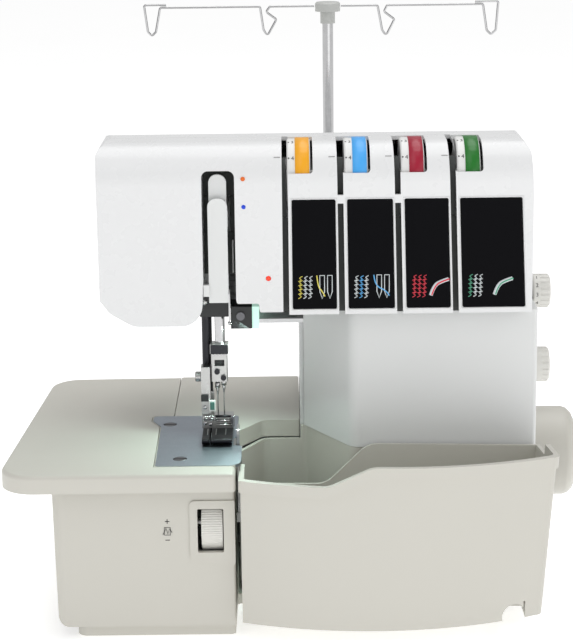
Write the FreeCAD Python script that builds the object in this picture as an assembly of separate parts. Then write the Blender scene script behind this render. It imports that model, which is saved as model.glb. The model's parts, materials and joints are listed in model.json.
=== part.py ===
import FreeCAD, Part  # noqa: E401  FreeCAD has to load first

import math
import os

# Overlock sewing machine (serger), modelled in millimetres.
# Origin: centre of the footprint at floor level. +X to the handwheel side, +Y to the back, +Z up.

V = FreeCAD.Vector

# ---------------------------------------------------------------- driving dimensions
HALF_WIDTH = 184.0        # table edge and handwheel hub are this far from the origin
HALF_DEPTH = 145.0        # waste tray at the front, spool stand at the back
WALL = 2.5                # moulded casing wall
GAP = 0.3                 # seam between two casings

BED_TOP = 108.0           # cloth plate level
SLAB = 11.0               # thickness of the table and of the bed casing
COVER_BOTTOM = 8.0        # lower edge of the lower casings
FLOOR_CLEAR = 1.0         # base pan above the floor

BLOCK_LEFT, BLOCK_RIGHT = -153.5, -43.4
BLOCK_FRONT, BLOCK_BACK = -118.0, 80.0
TABLE_FRONT, TABLE_BACK = -130.0, 87.0
BODY_BACK = 86.0

HEAD_FRONT, HEAD_BACK, HEAD_TOP = -85.0, 62.0, 295.5
RIDGE_Y, BACK_TOP = -30.0, 279.0     # the top falls from its ridge to the back edge
HEAD_SEAM = -45.0         # front panels meet the rear casing here
HEAD_BOTTOM = 193.5       # lower edge of the front panels
ARM_BOTTOM = 184.5        # lower face of the rear casing's arm
FACE_BOTTOM = 187.0
SHOULDER_R = 23.0         # rounding from the front face to the top

SEAM_Y = -20.0            # front and rear casings of the column meet here
COLUMN_LEFT, COLUMN_RIGHT = -3.0, 142.0
COLUMN_FRONT = -73.0
COLUMN_FOOT, COLUMN_TOP = 106.0, 192.0

SLOTS = (-11.0, 22.6, 57.4, 91.0)   # centre lines of the four thread slots at the panels' lower edge
DIALS = (-2.8, 31.3, 64.9, 98.2)    # centres of the four tension dials
SLOT_W = 3.6
FAN = 0.0003              # lean of a panel line per millimetre of height and of distance from slot 1
DIAL_Y, DIAL_Z = -61.0, 275.0       # axis of the four tension dials
DIAL_R, DIAL_W = 22.0, 14.0
SPINDLE_R = 2.5
RUN_FIT = 0.06            # radial clearance of a running fit

SHAFT_Y, SHAFT_Z, SHAFT_R = 15.0, 74.6, 5.0
WHEEL_R = 29.3
MOTOR_Y, MOTOR_Z, MOTOR_R = 54.0, 50.0, 18.0
BELT_X0, BELT_X1, BELT_T = 127.5, 133.5, 2.0
PULLEY_BIG, PULLEY_SMALL = 22.0, 7.0

NEEDLE_X, NEEDLE_Y = -52.6, -46.0
PRESSER_X, PRESSER_Y = -61.0, -38.5
NEEDLE_BAR_R, PRESSER_BAR_R = 3.2, 3.2
TAKE_UP_PIVOT = (-18.0, 251.0)       # y and z
TAKE_UP_ARM, TAKE_UP_POST = (-48.5, -45.4), -40.4
LOOPER_PINS = ((-62.0, 60.0), (-50.0, 50.0))
WIDTH_DIAL_Y, WIDTH_DIAL_Z, WIDTH_DIAL_R = -102.2, 69.1, 17.0
SIDE_KNOBS = ((-36.0, 195.3, 10.6), (-50.0, 151.6, 10.9))   # y, z and radius

POLE_X, POLE_Y = 19.4, 110.0
ROD_R, TUBE_R = 3.65, 5.2
TUBE_TOP, CAP_BOTTOM, GUIDE_TOP = 262.0, 349.4, 363.7
WIRE_R = 0.8
HOOKS = (-100.0, -21.4, 59.2, 130.4)   # thread hooks, and the spool pins under them
PIN_Y, PIN_R, PIN_ROOT_R = 122.0, 2.5, 3.2

PARTS = {}


# ---------------------------------------------------------------- geometry helpers
def box(x0, x1, y0, y1, z0, z1):
    return Part.makeBox(x1 - x0, y1 - y0, z1 - z0, V(x0, y0, z0))


def cyl_x(x0, x1, y, z, r):
    return Part.makeCylinder(r, x1 - x0, V(x0, y, z), V(1, 0, 0))


def cyl_y(y0, y1, x, z, r):
    return Part.makeCylinder(r, y1 - y0, V(x, y0, z), V(0, 1, 0))


def cyl_z(z0, z1, x, y, r):
    return Part.makeCylinder(r, z1 - z0, V(x, y, z0), V(0, 0, 1))


def place(plane, u, v, at):
    if plane == "xy":
        return V(u, v, at)
    if plane == "xz":
        return V(u, at, v)
    return V(at, u, v)


def rounded_path(points, radii, closed):
    """Straight edges through the points, with a tangent arc of the given radius at each corner."""
    count = len(points)
    starts, ends, arcs = [], [], []
    for i, p in enumerate(points):
        r = radii[i]
        if r <= 0 or (not closed and i in (0, count - 1)):
            starts.append(p)
            ends.append(p)
            arcs.append(None)
            continue
        a = (points[i - 1] - p).normalize()
        b = (points[(i + 1) % count] - p).normalize()
        half = a.getAngle(b) / 2
        middle = (a + b).normalize()
        starts.append(p + a * (r / math.tan(half)))
        ends.append(p + b * (r / math.tan(half)))
        arcs.append(p + middle * (r / math.sin(half) - r))
    edges = []
    for i in range(count):
        if arcs[i] is not None:
            edges.append(Part.Arc(starts[i], arcs[i], ends[i]).toShape())
        if i < count - 1 or closed:
            after = starts[(i + 1) % count]
            if ends[i].distanceToPoint(after) > 1e-6:
                edges.append(Part.LineSegment(ends[i], after).toShape())
    return Part.Wire(edges)


def prism(corners, plane, start, end):
    """Closed outline of (u, v, corner radius) swept from start to end across its plane."""
    points = [place(plane, c[0], c[1], start) for c in corners]
    face = Part.Face(rounded_path(points, [c[2] for c in corners], True))
    return face.extrude(place(plane, 0, 0, end) - place(plane, 0, 0, start))


def turned(profile, y, z):
    """Solid of revolution about an X axis at (y, z); the profile is (x, radius) points."""
    points = [V(x, y, z + r) for x, r in profile]
    face = Part.Face(Part.makePolygon(points + points[:1]))
    return face.revolve(V(0, y, z), V(1, 0, 0), 360)


def turned_z(profile, x, y):
    """Solid of revolution about a Z axis at (x, y); the profile is (radius, z) points."""
    points = [V(x + r, y, z) for r, z in profile]
    face = Part.Face(Part.makePolygon(points + points[:1]))
    return face.revolve(V(x, y, 0), V(0, 0, 1), 360)


def bent_rod(points, radius, bend):
    """Round rod that follows the points, with bends of the given radius."""
    points = [V(*p) for p in points]
    path = rounded_path(points, [bend] * len(points), False)
    ring = Part.Wire(Part.makeCircle(radius, points[0], points[1] - points[0]))
    return path.makePipeShell([ring], True, False)


def fuse(*shapes):
    return shapes[0].multiFuse(list(shapes[1:])).removeSplitter()


def cut(shape, *tools):
    return shape.cut(list(tools))


def lean(x, z):
    """X at height z of a panel line that crosses the panels' lower edge at x."""
    return x - FAN * (x - SLOTS[0]) * (z - HEAD_BOTTOM)


def leaning(x0, x1, z0, z1, y0, y1, r=0.0):
    """Plate between two panel lines, from z0 to z1."""
    return prism(
        [(lean(x0, z0), z0, r), (lean(x1, z0), z0, r), (lean(x1, z1), z1, r), (lean(x0, z1), z1, r)],
        "xz", y0, y1,
    )


def keep(name, *solids):
    """Registers one node made of one or more separate solids."""
    PARTS[name] = list(solids)


def add(name, *solids):
    """Adds separate solids to a node that groups several of them."""
    PARTS.setdefault(name, []).extend(solids)


def ribs_x(x0, x1, y, z, r, count, depth):
    """Small round grooves along X, spaced round a drum."""
    grooves = []
    for i in range(count):
        a = 2 * math.pi * i / count
        grooves.append(cyl_x(x0, x1, y + r * math.cos(a), z + r * math.sin(a), depth))
    return grooves


# ---------------------------------------------------------------- base
def base():
    outer = [
        (-140.5, -115, 6), (-44, -115, 3), (-44, -66, 3), (141, -66, 8), (141, 84, 10), (-140.5, 78, 10),
    ]
    inner = [
        (-138, -112.5, 4), (-46.5, -112.5, 1), (-46.5, -63.5, 3), (138.5, -63.5, 6),
        (138.5, 81.5, 8), (-138, 75.5, 8),
    ]
    pan = prism(outer, "xy", FLOOR_CLEAR, COVER_BOTTOM - GAP)
    pan = cut(pan, prism(inner, "xy", FLOOR_CLEAR + WALL, 30))
    feet_at = [(-122, -98), (-60, -98), (124, -48), (124, 66), (-122, 62)]
    stud = [cyl_z(0, 30, x, y, 3 + RUN_FIT) for x, y in feet_at]
    keep("base_pan", cut(pan, *stud))
    feet = []
    for x, y in feet_at:
        feet.append(turned_z([(0, 0), (8.3, 0), (9, 0.7), (9, FLOOR_CLEAR), (3, FLOOR_CLEAR), (3, 6), (0, 6)], x, y))
    keep("rubber_feet", *feet)


# ---------------------------------------------------------------- lower casings
DIAL_WINDOW = (-65.9, -50.2, 55.3, 82.9)


def left_bed_cover():
    plan = prism(
        [(BLOCK_LEFT, BLOCK_FRONT, 7), (BLOCK_RIGHT, BLOCK_FRONT, 1.5),
         (BLOCK_RIGHT, BLOCK_BACK, 1.5), (BLOCK_LEFT, BLOCK_BACK, 12)],
        "xy", COVER_BOTTOM, BED_TOP - SLAB - GAP,
    )
    front = prism(
        [(BLOCK_LEFT, 120, 0), (BLOCK_RIGHT, 120, 0), (BLOCK_RIGHT, COVER_BOTTOM, 0.5),
         (-151.4, COVER_BOTTOM, 7)],
        "xz", BLOCK_FRONT - 5, BLOCK_BACK + 5,
    )
    x0, x1, z0, z1 = DIAL_WINDOW
    bezel = prism(
        [(-70.5, 88, 3), (BLOCK_RIGHT, 88, 0.5), (BLOCK_RIGHT, 45.6, 3), (-70.5, 50.8, 3)],
        "xz", BLOCK_FRONT - 1.0, BLOCK_FRONT + 1,
    )
    outer = fuse(plan.common(front), bezel)
    hollow = prism(
        [(BLOCK_LEFT + WALL, BLOCK_FRONT + WALL, 5), (BLOCK_RIGHT - WALL, BLOCK_FRONT + WALL, 1),
         (BLOCK_RIGHT - WALL, BLOCK_BACK - WALL, 1), (BLOCK_LEFT + WALL, BLOCK_BACK - WALL, 10)],
        "xy", COVER_BOTTOM - 1, BED_TOP - SLAB - GAP - WALL,
    )
    window = prism([(x0, z0, 1), (x1, z0, 1), (x1, z1, 1), (x0, z1, 1)], "xz", -125, -110)
    top_hole = box(-80, BLOCK_RIGHT - WALL, -100, -18, 90, 100)
    side_hole = box(BLOCK_RIGHT - 5, BLOCK_RIGHT + 5, -75, BLOCK_BACK - WALL, 20, 100)
    tabs = [box(-69.5, -67, BLOCK_FRONT + WALL, -99, 61, 79), box(-48, BLOCK_RIGHT - WALL, -115.5, -99, 61, 79)]
    axle = cyl_x(-70, -40, WIDTH_DIAL_Y, WIDTH_DIAL_Z, SPINDLE_R)
    shell = cut(outer, hollow, window, top_hole, side_hole)
    keep("left_bed_cover", cut(fuse(shell, *tabs), axle))
    add("pivot_pins", cyl_x(-69.5, BLOCK_RIGHT - WALL, WIDTH_DIAL_Y, WIDTH_DIAL_Z, SPINDLE_R))


def bed_outline(grow, back, right):
    """Plan of the bed casing; grow widens it on the sides that the table meets."""
    left = -84.3 - grow
    return [
        (left, back, 2), (right, back, 2), (right, SEAM_Y + 0.5, 1), (-27, SEAM_Y + 0.5, 6),
        (-42.6, -44, 4), (-42.6, -114 - grow, 3), (-91.2 - grow, -114 - grow, 1),
        (-92.2 - grow, -33, 4), (-98.2 - grow, -20, 2), (-98.2 - grow, -8.5 + grow, 3),
        (left, -8.5 + grow, 1),
    ]


def plate_outline(grow):
    return [
        (-97.4 - grow, -9.3 + grow, 3), (-97.4 - grow, -19.8, 2), (-91.6 - grow, -32.8, 4),
        (-90.5 - grow, -113.2 - grow, 2), (-39.4, -113.2 - grow, 8), (-39.4, -76, 3),
        (-42.8 + grow, -70, 3), (-42.8 + grow, -9.3 + grow, 2),
    ]


PLATE_SCREWS = ((-86.2, -27.5), (-76.4, -99.4))


def bed_casing():
    right = COLUMN_LEFT - GAP
    outer = prism(bed_outline(0, BODY_BACK, right), "xy", BED_TOP - SLAB, BED_TOP)
    pockets = [
        box(-82, right - WALL, -5, BODY_BACK - WALL, 90, BED_TOP - WALL),
        box(-40, right - WALL, -17, 0, 90, BED_TOP - WALL),
        box(-88, -70, -110, -20, 90, BED_TOP - 4.2),
    ]
    mechanism = box(-68, -46, -88, -24, 90, 120)
    knife_notch = box(-44.8, -42, -73.5, -56.5, 90, 120)
    seat = prism(plate_outline(0.15), "xy", BED_TOP - 1.6, BED_TOP + 5)
    screws = [cyl_z(80, 120, x, y, 2.0) for x, y in PLATE_SCREWS]
    keep("bed_casing", cut(outer, *pockets, mechanism, knife_notch, seat, *screws))


def needle_plate():
    top = BED_TOP + 0.3
    plate = prism(plate_outline(0), "xy", BED_TOP - 1.5, top)
    slots = [
        box(-58.9, -55.9, -72, -36, 100, 120),
        box(-53.7, -51.3, -72, -36, 100, 120),
        box(-57.6, -48.6, -48.2, -43.8, 100, 120),
        box(-44.8, -38.0, -73.5, -56.5, 100, 120),
    ]
    screws = []
    for x, y in PLATE_SCREWS:
        screws.append(cyl_z(100, 120, x, y, 4.3))
    sunk = [cyl_z(BED_TOP - 1.5, BED_TOP - 1.0, x, y, 4.35) for x, y in PLATE_SCREWS]
    lower_ring = [cut(s, cyl_z(90, 130, x, y, 2.1)) for s, (x, y) in zip(sunk, PLATE_SCREWS)]
    keep("needle_plate", fuse(cut(plate, *slots, *screws), *lower_ring))
    heads = []
    for x, y in PLATE_SCREWS:
        head = turned_z([(0, 98), (1.9, 98), (1.9, BED_TOP - 1), (4.2, BED_TOP - 1), (4.2, top - 0.3),
                         (3.8, top), (0, top)], x, y)
        slot = box(x - 5, x + 5, y - 0.55, y + 0.55, top - 0.8, top + 1)
        heads.append(cut(head, slot))
    add("screws", *heads)


def extension_table():
    bed = bed_outline(GAP * 1.5, TABLE_BACK + 9, 0)
    outer_corners = [
        (-HALF_WIDTH, TABLE_FRONT, 21), (-42.6, TABLE_FRONT, 3), (-42.6, TABLE_BACK, 0),
        (-171.8, TABLE_BACK - 2, 20),
    ]
    slab = prism(outer_corners, "xy", BED_TOP - SLAB, BED_TOP)
    rim = [
        e for e in slab.Edges
        if abs(e.BoundBox.ZMin - BED_TOP) < 1e-6 and abs(e.BoundBox.ZMax - BED_TOP) < 1e-6
        and e.BoundBox.XMin < -42.7
    ]
    slab = slab.makeFillet(2.4, rim)
    bed_hole = prism(bed, "xy", 80, 120)
    beside = box(-60, 0, -114 - GAP * 1.5, TABLE_BACK + 5, 80, 120)
    behind = box(bed[0][0], 0, -8, TABLE_BACK + 5, 80, 120)
    slab = cut(slab, bed_hole, beside, behind)
    under = [
        prism([(-181.3, TABLE_FRONT + WALL, 18), (-104, TABLE_FRONT + WALL, 1), (-104, 83, 1),
               (-169, 82.5, 17)], "xy", 90, BED_TOP - WALL),
        box(-101, -45.2, TABLE_FRONT + WALL, -117, 90, BED_TOP - WALL),
        box(-101, -88, -4, TABLE_BACK - WALL, 90, BED_TOP - WALL),
    ]
    keep("extension_table", cut(slab, *under))


def looper_cover():
    face = [(-40.2, -49, 0), (-25.5, -23.4, 7), (0.6, -23.4, 5), (28.4, COLUMN_FRONT, 8), (141, COLUMN_FRONT, 0)]
    inside = [(141, COLUMN_FRONT + WALL, 0), (29.9, COLUMN_FRONT + WALL, 8), (2.1, -20.9, 5), (-27.0, -20.9, 9),
              (-42.4, -47.8, 0)]
    wall = prism(face + inside, "xy", COVER_BOTTOM + 1.6, BED_TOP)
    under_bed = box(-50, -2.8, -90, -10, BED_TOP - SLAB - GAP, 120)
    low_part = box(-3, 160, -90, -10, COLUMN_FOOT - GAP, 120)
    grip = cyl_x(60, 100, COLUMN_FRONT - 6, 90, 7.2)
    keep("looper_cover", cut(wall, under_bed, low_part, grip))


def column_front_cover():
    outer = prism(
        [(-0.4, SEAM_Y + 0.3, 0), (-0.4, -24, 2), (28.4, COLUMN_FRONT, 9), (COLUMN_RIGHT, COLUMN_FRONT, 2.5),
         (COLUMN_RIGHT, SEAM_Y - GAP, 0)],
        "xy", COLUMN_FOOT, COLUMN_TOP,
    )
    front = prism(
        [(-6, COLUMN_FOOT, 0), (150, COLUMN_FOOT, 0), (150, COLUMN_TOP, 0), (20, COLUMN_TOP, 14), (-6, 180.5, 0)],
        "xz", -90, 0,
    )
    hollow = prism(
        [(2.1, -10, 0), (2.1, -23.2, 1), (29.8, COLUMN_FRONT + WALL, 7),
         (COLUMN_RIGHT - WALL, COLUMN_FRONT + WALL, 1), (COLUMN_RIGHT - WALL, -10, 0)],
        "xy", COLUMN_FOOT - 1, COLUMN_TOP - 11,
    )
    knob_y, knob_z = SIDE_KNOBS[1][:2]
    stem = cyl_x(135, 145, knob_y, knob_z, SPINDLE_R + RUN_FIT)
    keep("column_front_cover", cut(outer.common(front), hollow, stem))


# ---------------------------------------------------------------- head and arm
def head_block(inset):
    """Closed envelope of the head, pulled in by the given amount."""
    side = prism(
        [(HEAD_FRONT + inset, 150, 0), (HEAD_FRONT + inset, HEAD_TOP - inset, SHOULDER_R - inset),
         (RIDGE_Y, HEAD_TOP - inset, 60), (HEAD_BACK - inset, BACK_TOP - inset, 24 - inset),
         (HEAD_BACK - inset, 150, 0)],
        "yz", -160, 160,
    )
    plan = prism(
        [(-123.0 + inset, HEAD_FRONT, 0), (-125.4 + inset, HEAD_SEAM, 0), (-125.4 + inset, HEAD_BACK, 14),
         (139.9 - inset, HEAD_BACK, 14), (139.9 - inset, HEAD_SEAM, 0), (136.6 - inset, HEAD_FRONT, 0)],
        "xy", 150, 300,
    )
    front = prism(
        [(-126.0 + inset, 150, 0), (-123.8 + inset, HEAD_TOP - inset, 8), (135.2 - inset, HEAD_TOP - inset, 8),
         (142.0 - inset, 150, 0)],
        "xz", -90, 70,
    )
    return side.common(plan).common(front)


def face_outline(inset, foot):
    """Front outline of the left panel, with the open take-up slot; inset is its wall, foot its lower edge."""
    right = SLOTS[0] - SLOT_W / 2
    step = 0 if inset == 0 else foot - 200
    return [
        (-140, FACE_BOTTOM + inset, 0), (-62.0 - inset, FACE_BOTTOM + inset, 13 - inset),
        (-60.6 - inset, 215, 2), (-60.6 - inset, 281 + inset, 4), (-41 + inset, 281 + inset, 4),
        (-41 + inset, 203 + step, 0), (-40.4 + inset, 200.6 + step, 1), (-27.4, 200.6 + step, 1.4),
        (-26.8, 195.2 + step, 1), (right + inset, 195.2 + step, 0), (right + inset, 320, 0), (-140, 320, 0),
    ]


def slot_cutter(i, z0, z1, y0, y1):
    x = SLOTS[i]
    return leaning(x - SLOT_W / 2, x + SLOT_W / 2, z0, z1, y0, y1)


def lower_corner():
    """What is cut away below the rounded lower left corner of the head."""
    return prism(
        [(-124.8, 206, 12), (-117.2, 195.4, 10), (-103, FACE_BOTTOM, 14), (-60, FACE_BOTTOM, 0), (-60, 170, 0),
         (-140, 170, 0), (-140, 206, 0)],
        "xz", -90, 70)


def head_panels(outer, inner):
    ahead = HEAD_SEAM - GAP
    shell = cut(outer, inner)
    below = box(-150, 150, -90, 70, 150, HEAD_BOTTOM)
    led = cyl_y(-90, -70, -21.5, 216, 1.6)
    face = outer.common(prism(face_outline(0, 0), "xz", HEAD_FRONT - 5, ahead))
    front_room = inner.common(prism(face_outline(WALL, 180), "xz", HEAD_FRONT, 0))
    back_room = cut(inner, box(-150, 150, -90, -57.5, 100, 300), box(-150, -63, -90, 0, 100, FACE_BOTTOM + WALL))
    keep("face_cover", cut(face, front_room, back_room, led, lower_corner()))

    x0 = SLOTS[0] + SLOT_W / 2
    x1 = SLOTS[3] - SLOT_W / 2
    middle = leaning(x0, x1, 180, 300, -90, ahead)
    right = leaning(x1 + SLOT_W, 150, 180, 300, -90, ahead)
    windows = []
    for x in DIALS:
        windows.append(prism([(x - 8.4, 279, 2), (x + 8.4, 279, 2), (x + 8.4, 310, 0), (x - 8.4, 310, 0)],
                             "xz", -90, HEAD_SEAM - 2.6))
        windows.append(cyl_x(x - 8.4, x + 8.4, DIAL_Y, DIAL_Z, DIAL_R + 0.6))
    channels = []
    for i in (1, 2):
        channels.append(slot_cutter(i, 180, 261, -90, -60))
        channels.append(slot_cutter(i, 266, 300, -90, HEAD_SEAM - 3))
    recess = [card_plate(i, 0.25, 0.6) for i in range(4)]
    keep("tension_cover", cut(shell.common(middle), below, *windows, *channels, *recess))
    keep("head_end_panel", cut(shell.common(right), below, *windows, *recess))
    keep("guide_cards", *[card_plate(i, 0, 0.6) for i in range(4)])


def card_plate(i, grow, deep):
    """Printed guide card let into the front of the panels, right of thread slot i."""
    x0 = SLOTS[i] + SLOT_W / 2 + 2.2
    x1 = (SLOTS[1:] + (132.6,))[i] - (0 if i == 3 else SLOT_W / 2 + 1.4)
    return leaning(x0 - grow, x1 + grow, 197 - grow, 263.4 + grow, HEAD_FRONT, HEAD_FRONT + deep, 1 + grow)


def rear_cover(outer, inner):
    column = prism(
        [(COLUMN_LEFT, SEAM_Y, 0), (COLUMN_RIGHT, SEAM_Y, 0), (COLUMN_RIGHT, BODY_BACK, 14),
         (COLUMN_LEFT, BODY_BACK, 4)],
        "xy", COVER_BOTTOM, 200,
    )
    column_room = prism(
        [(COLUMN_LEFT + WALL, SEAM_Y - 5, 0), (COLUMN_RIGHT - WALL, SEAM_Y - 5, 0),
         (COLUMN_RIGHT - WALL, BODY_BACK - WALL, 12), (COLUMN_LEFT + WALL, BODY_BACK - WALL, 2)],
        "xy", COVER_BOTTOM - 1, 200 - WALL,
    )
    arm = cut(outer, box(-150, 150, -100, HEAD_SEAM, 100, 300), box(-150, 150, -100, 70, 100, ARM_BOTTOM))
    arm_room = cut(inner, box(-150, 150, -100, 70, 100, ARM_BOTTOM + WALL))
    ledge = box(-27.7, -0.7, -68, HEAD_SEAM + 3, ARM_BOTTOM, HEAD_BOTTOM - GAP)
    ledge_room = box(-25.2, 3, -65.5, HEAD_SEAM + 5, ARM_BOTTOM + WALL, 200)
    wing = box(-43.1, COLUMN_LEFT + 1, BODY_BACK - 8, BODY_BACK, COVER_BOTTOM, BED_TOP - SLAB - GAP)
    knob_y, knob_z = SIDE_KNOBS[0][:2]
    openings = [
        box(-66, -27.7, HEAD_SEAM - 5, -28, 180, 190),
        box(-0.7, 150, HEAD_SEAM - 5, SEAM_Y + 0.6, 180, COLUMN_TOP + GAP),
        cyl_x(-5, 145, SHAFT_Y, SHAFT_Z, SHAFT_R + 0.5),
        box(-5, 0, -17, 71, 20, 31),
        cyl_x(135, 145, knob_y, knob_z, SPINDLE_R + RUN_FIT),
        cyl_y(50, 70, -85, 206, 3 + RUN_FIT),
        box(135, 145, 60.7, 71.3, 94.8, 119.2),
        box(85.2, 112.8, 80, 90, 33.2, 52.8),
        cyl_y(80, 90, 20, 150, 1.7), cyl_y(80, 90, 118, 150, 1.7), cyl_y(80, 90, 20, 60, 1.7),
    ]
    for i in range(9):
        openings.append(box(24 + 4 * i, 26 + 4 * i, 80, 90, 30, 48))
    body = fuse(arm, column, ledge, wing)
    arm_room = cut(arm_room, box(-150, -57, -100, 70, 180, FACE_BOTTOM + WALL))
    keep("rear_cover", cut(body, lower_corner(), column_room, arm_room, ledge_room, *openings))
    for x, z in ((20, 150), (118, 150), (20, 60)):
        stud = cyl_y(BODY_BACK - 9, BODY_BACK, x, z, 1.7)
        add("screws", fuse(stud, cyl_y(BODY_BACK, BODY_BACK + 1.6, x, z, 3.4)))


def lamp():
    bracket = box(-45, -32, -68, -48, 181, 195)
    lens_room = box(-43, -32, -66, -50, 178, 193)
    screw_hole = cyl_y(-70, -60, -39, 189, 1.5)
    keep("lamp_bracket", cut(bracket, lens_room, screw_hole))
    keep("lamp_lens", fuse(box(-32, -27.7, -67, -49, 180.6, 194.6), box(-42.8, -32, -65, -51, 182, 184)))
    add("screws", fuse(cyl_y(-68, -66, -39, 189, 1.5), cyl_y(-69.2, -68, -39, 189, 2.6)))


def take_up():
    guard = prism([(-57.3, 200.8, 0.5), (-45.6, 200.8, 0.5), (-45.6, 264.3, 5), (-57.3, 264.3, 5)], "xz", -82.6, -80.6)
    tab = box(-60.6, -57, -84, -81, 205, 212)
    keep("take_up_guard", fuse(guard, tab))
    plate = prism([(-56.6, 242, 1), (-46.0, 242, 1), (-46.0, 278.0, 5), (-56.6, 278.0, 5)], "xz", -78.4, -76.2)
    x0, x1 = TAKE_UP_ARM
    y, z = TAKE_UP_PIVOT
    arm = fuse(box(x0, x1, -77, y, z - 5, z + 5), cyl_x(x0, x1, y, z, 6))
    bore = cyl_x(x0 - 1, x1 + 1, y, z, 3 + RUN_FIT)
    keep("take_up_lever", cut(fuse(plate, arm), bore))
    add("pivot_pins", cyl_x(x0, TAKE_UP_POST, y, z, 3))


# ---------------------------------------------------------------- thread tensions
def tensions():
    spindles, discs = [], []
    for i, x in enumerate(DIALS):
        slot = lean(SLOTS[i], DIAL_Z)
        spindles.append(cyl_x(slot - 8, x + DIAL_W / 2 + 2, DIAL_Y, DIAL_Z, SPINDLE_R))
        for side in (-1, 1):
            near, far = sorted((slot + 0.3 * side, slot + 0.9 * side))
            disc = cyl_x(near, far, DIAL_Y, DIAL_Z, 10.5)
            discs.append(cut(disc, cyl_x(near, far, DIAL_Y, DIAL_Z, SPINDLE_R)))
        drum = turned([(x - 7, SPINDLE_R + RUN_FIT), (x - 7, DIAL_R - 0.8), (x - 6.2, DIAL_R), (x + 6.2, DIAL_R),
                       (x + 7, DIAL_R - 0.8), (x + 7, SPINDLE_R + RUN_FIT)], DIAL_Y, DIAL_Z)
        room = cut(cyl_x(x - 5, x + 8, DIAL_Y, DIAL_Z, DIAL_R - 3), cyl_x(x - 5, x + 8, DIAL_Y, DIAL_Z, 5.5))
        ribs = ribs_x(x + 3.4, x + 8, DIAL_Y, DIAL_Z, DIAL_R + 0.2, 36, 0.9)
        keep("tension_dial_%d" % (i + 1), cut(drum, room, *ribs))
    keep("tension_spindles", *spindles)
    keep("tension_discs", *discs)


# ---------------------------------------------------------------- knobs and switches
def knob(x0, x1, y, z, r, bore):
    """Ribbed thumb wheel on an X axis."""
    drum = turned([(x0, 0), (x0, r - 0.8), (x0 + 0.8, r), (x1 - 1.2, r), (x1, r - 1.2), (x1, 0)], y, z)
    ribs = ribs_x(x0 + 4.5, x1 + 1, y, z, r + 0.5, 18, 1.2)
    stem = cyl_x(bore, x0, y, z, SPINDLE_R)
    return fuse(cut(drum, *ribs), stem)


def controls():
    y, z, r = SIDE_KNOBS[0]
    keep("stitch_length_dial", knob(142.3, 153.2, y, z, r, 118))
    y, z, r = SIDE_KNOBS[1]
    keep("differential_dial", knob(142.3, 151.6, y, z, r, 118))
    y, z, r = WIDTH_DIAL_Y, WIDTH_DIAL_Z, WIDTH_DIAL_R
    wheel = turned([(-63.6, SPINDLE_R + RUN_FIT), (-63.6, r - 0.4), (-63.2, r), (-51.2, r), (-50.8, r - 0.4),
                    (-50.8, SPINDLE_R + RUN_FIT)], y, z)
    keep("stitch_width_dial", cut(wheel, *ribs_x(-65, -50, y, z, r + 0.25, 72, 0.6)))
    rocker = prism([(61, 96, 1), (71, 96, 1), (71, 118, 1), (61, 118, 1)], "yz", 137, 142.6)
    dish = cyl_y(50, 80, 154.5, 107, 13)
    pivot = cyl_y(61, 71, 137, 107, 2.5)
    keep("power_switch", cut(fuse(rocker, pivot), dish))
    body = box(85.5, 112.5, 76, BODY_BACK + 1.2, 33.5, 52.5)
    well = box(88, 110, 79, 90, 36, 50)
    pins = [box(93.5 + 5 * i, 94.7 + 5 * i, 78, 85, 41.5, 44.5) for i in range(2)]
    keep("power_inlet", fuse(cut(body, well), *pins))


# ---------------------------------------------------------------- waste tray
TRAY_FLOOR, TRAY_RIM = 12.2, 118.0


def tray_block(inset):
    """Lofted body of the tray: bowed front, more room at the rim than at the floor."""
    rings = []
    for z, left, middle, right, end, back in ((TRAY_FLOOR + inset, -124.5, -140.0, -118.0, 141.8, 138.0),
                                              (TRAY_RIM, -127.5, -144.4, -121.0, 149.6, 144.6)):
        x0, x1, x2, y1 = -39.6 + inset, end - inset, back - inset, -75.6 - inset
        bow = Part.Arc(V(x0, left + inset, z), V(50, middle + inset, z), V(x1 - 4, right + inset, z))
        corner = Part.Arc(V(x1 - 4, right + inset, z), V(x1 - 0.9, right + inset + 1.9, z),
                          V(x1, right + inset + 5, z))
        sides = [V(x1, right + inset + 5, z), V(x2, y1, z), V(x0, y1, z), V(x0, left + inset, z)]
        lines = [Part.LineSegment(a, b).toShape() for a, b in zip(sides, sides[1:])]
        rings.append(Part.Wire([bow.toShape(), corner.toShape()] + lines))
    return Part.makeLoft(rings, True, True)


def rim_profile(drop, y0, y1, left, right):
    """Everything below the S-shaped rim line, lowered by drop."""
    return prism(
        [(-60, 0, 0), (-60, left + 0.6 - drop, 0), (12, left - drop, 14), (38, right - drop, 16),
         (90, right - 1 - drop, 0), (160, right - 2.4 - drop, 0), (160, 0, 0)],
        "xz", y0, y1,
    )


def waste_tray():
    under_rim = fuse(rim_profile(0, -160, -96, 103.0, 115.6), rim_profile(0, -96.5, -70, 84.0, 109.4))
    wall = cut(tray_block(0), tray_block(2.2))
    band_room = tray_block(2.2)
    band = cut(tray_block(-1.1), band_room, rim_profile(7.4, -160, -96, 103.0, 115.6), box(-60, 160, -96, -60, 0, 130))
    tray = fuse(wall, band).common(under_rim)
    notch = cyl_y(-150, -100, 124.0, 14.6, 7.4)
    keep("waste_tray", cut(tray, notch, box(130.0, 131.0, -150, -110, 8, 23)))


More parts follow.
